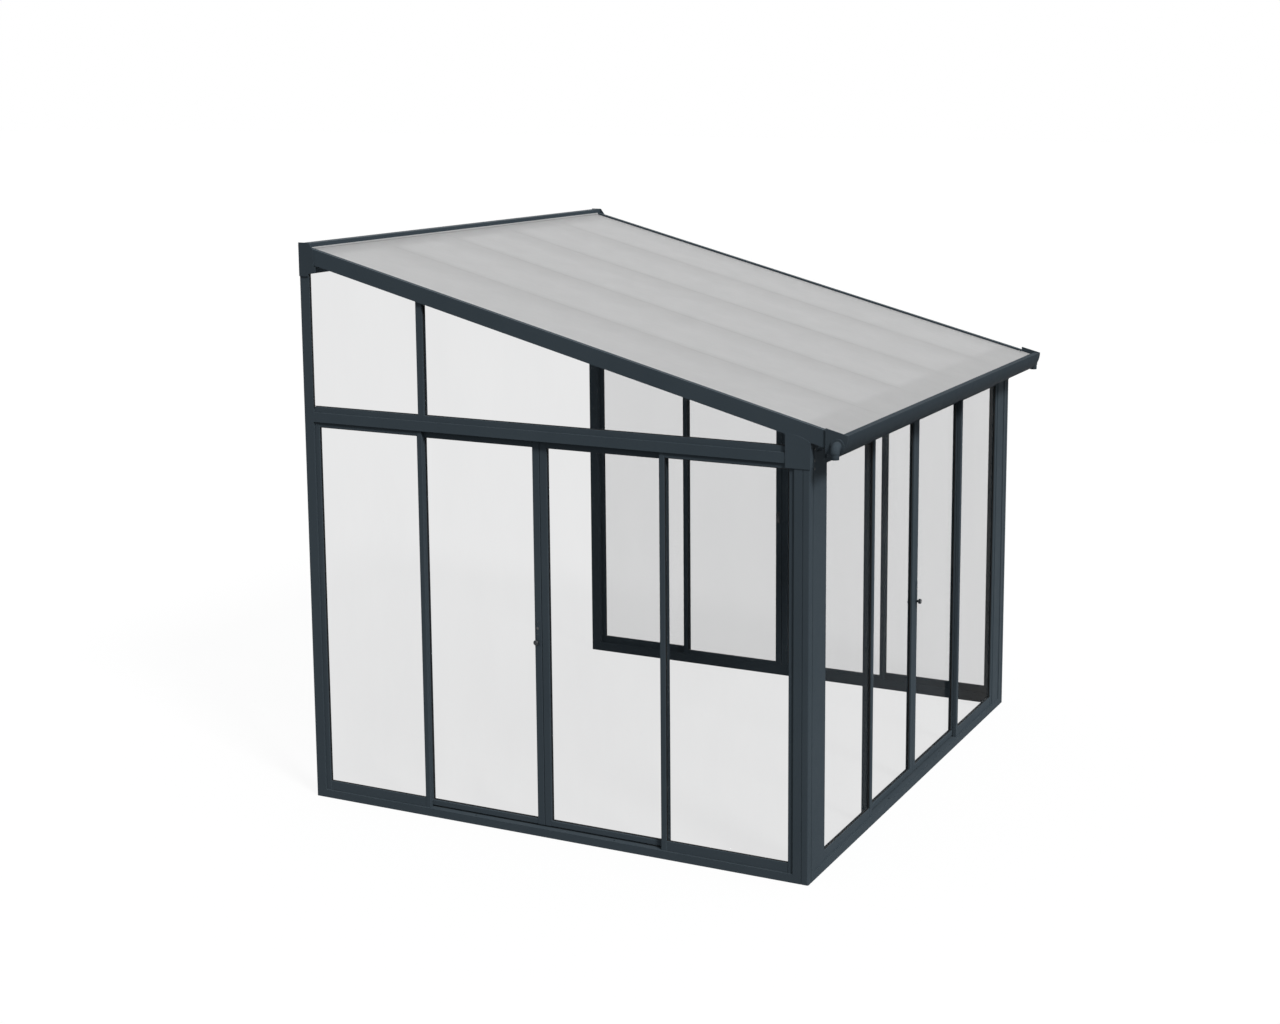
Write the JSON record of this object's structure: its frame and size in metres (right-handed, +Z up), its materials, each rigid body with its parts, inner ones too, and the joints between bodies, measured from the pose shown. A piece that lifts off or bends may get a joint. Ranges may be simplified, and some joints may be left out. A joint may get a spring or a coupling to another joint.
{
  "type": "lean-to conservatory",
  "caption": "Lean-to conservatory for a house wall: dark aluminium frame, sloped translucent roof, front gutter with outlets, and glazed walls with latching sliding doors.",
  "frame": {"origin": "middle of the footprint's bounding box, on the ground", "axes": "+X along the front from left to right seen from the garden, +Y from the gutter to the house wall, +Z up"},
  "size_m": [3.18, 3.009, 2.9375],
  "materials": {
    "frame_profile": "powder-coated satin",
    "glazing": "clear",
    "roof_sheet": "translucent",
    "nylon": "matte",
    "moulding": "satin",
    "fittings": "satin"
  },
  "bodies": {
    "frame": {"base_track_front": "frame_profile", "base_track_left": "frame_profile", "base_track_right": "frame_profile", "corner_plates": "frame_profile", "corner_post_left": "frame_profile", "corner_post_right": "frame_profile", "eaves_beam": "frame_profile", "fixed_frames_front": "frame_profile", "fixed_frames_left": "frame_profile", "fixed_frames_right": "frame_profile", "fixed_panes_front": "glazing", "fixed_panes_left": "glazing", "fixed_panes_right": "glazing", "front_jamb_left": "frame_profile", "front_jamb_right": "frame_profile", "gable_rafter_left": "frame_profile", "gable_rafter_right": "frame_profile", "gutter": "frame_profile", "gutter_caps": "moulding", "header_front": "frame_profile", "header_left": "frame_profile", "header_right": "frame_profile", "ledger_caps": "moulding", "outlet_elbows": "moulding", "roof_panel_1": "roof_sheet", "roof_panel_2": "roof_sheet", "roof_panel_3": "roof_sheet", "roof_panel_4": "roof_sheet", "roof_panel_5": "roof_sheet", "roof_rafter_1": "frame_profile", "roof_rafter_2": "frame_profile", "roof_rafter_3": "frame_profile", "roof_rafter_4": "frame_profile", "transom_mullions": "frame_profile", "transom_panes": "glazing", "wall_ledger": "frame_profile", "wall_post_left": "frame_profile", "wall_post_right": "frame_profile"},
    "door_front_left": {"door_frame_front_left": "frame_profile", "door_pane_front_left": "glazing", "door_shoes_front_left": "nylon"},
    "door_front_right": {"door_frame_front_right": "frame_profile", "door_pane_front_right": "glazing", "door_shoes_front_right": "nylon"},
    "door_left_front": {"door_frame_left_front": "frame_profile", "door_pane_left_front": "glazing", "door_shoes_left_front": "nylon"},
    "door_left_rear": {"door_frame_left_rear": "frame_profile", "door_pane_left_rear": "glazing", "door_shoes_left_rear": "nylon"},
    "door_right_front": {"door_frame_right_front": "frame_profile", "door_pane_right_front": "glazing", "door_shoes_right_front": "nylon"},
    "door_right_rear": {"door_frame_right_rear": "frame_profile", "door_pane_right_rear": "glazing", "door_shoes_right_rear": "nylon"},
    "turn_front": {"latch_front": "fittings"},
    "turn_left": {"latch_left": "fittings"},
    "turn_right": {"latch_right": "fittings"}
  },
  "joints": [
    {"name": "slide_front_left", "type": "slide", "parent": "frame", "child": "door_front_left", "axis": [-1, 0, 0], "range_m": [0, 0.6]},
    {"name": "slide_front_right", "type": "slide", "parent": "frame", "child": "door_front_right", "axis": [1, 0, 0], "range_m": [0, 0.6]},
    {"name": "slide_left_front", "type": "slide", "parent": "frame", "child": "door_left_front", "axis": [0, -1, 0], "range_m": [0, 0.6]},
    {"name": "slide_left_rear", "type": "slide", "parent": "frame", "child": "door_left_rear", "axis": [0, 1, 0], "range_m": [0, 0.6]},
    {"name": "slide_right_front", "type": "slide", "parent": "frame", "child": "door_right_front", "axis": [0, -1, 0], "range_m": [0, 0.6]},
    {"name": "slide_right_rear", "type": "slide", "parent": "frame", "child": "door_right_rear", "axis": [0, 1, 0], "range_m": [0, 0.6]},
    {"name": "latch_turn_front", "type": "hinge", "parent": "door_front_right", "child": "turn_front", "pos_m": [0.02075, -1.2745, 1], "axis": [0, -1, 0], "range_deg": [0, 90]},
    {"name": "latch_turn_left", "type": "hinge", "parent": "door_left_rear", "child": "turn_left", "pos_m": [-1.481, 0.15025, 1], "axis": [1, 0, 0], "range_deg": [0, 90]},
    {"name": "latch_turn_right", "type": "hinge", "parent": "door_right_rear", "child": "turn_right", "pos_m": [1.481, 0.15025, 1], "axis": [1, 0, 0], "range_deg": [0, 90]}
  ]
}
